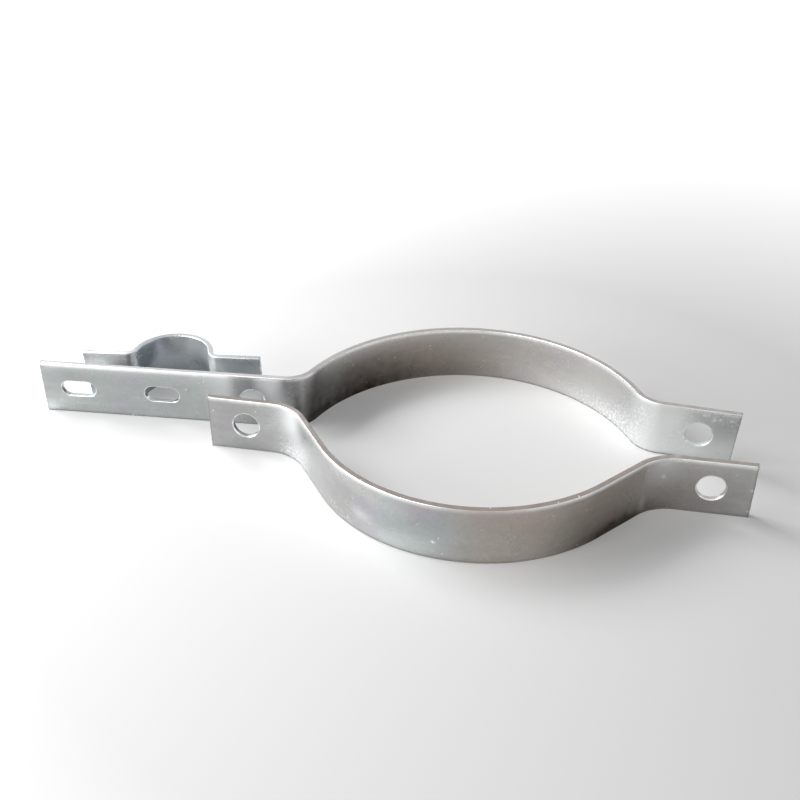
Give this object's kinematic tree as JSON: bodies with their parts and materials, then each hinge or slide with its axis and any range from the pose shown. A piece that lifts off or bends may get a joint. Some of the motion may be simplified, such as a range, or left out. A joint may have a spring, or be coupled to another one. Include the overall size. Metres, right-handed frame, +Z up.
{
  "type": "pole cable clamp",
  "caption": "Galvanised flat-strip pole clamp laid out in its loose pieces: a rear half hoop with a slotted arm, a front half hoop, and a small saddle that holds a cable.",
  "frame": {"origin": "seat axis of the rear half, on the base plane that the pieces stand on", "axes": "+Z up along the pole axis, +Y from the pole to the crown of the rear half, -X along the slotted arm"},
  "size_m": [0.4922, 0.2241, 0.04],
  "materials": {
    "rear_strap": "hot-dip galvanised, satin",
    "front_strap": "hot-dip galvanised, satin",
    "cable_saddle": "hot-dip galvanised, darker and satin"
  },
  "bodies": {
    "root": {"rear_strap": "rear_strap", "front_strap": "front_strap", "cable_saddle": "cable_saddle"}
  },
  "joints": []
}
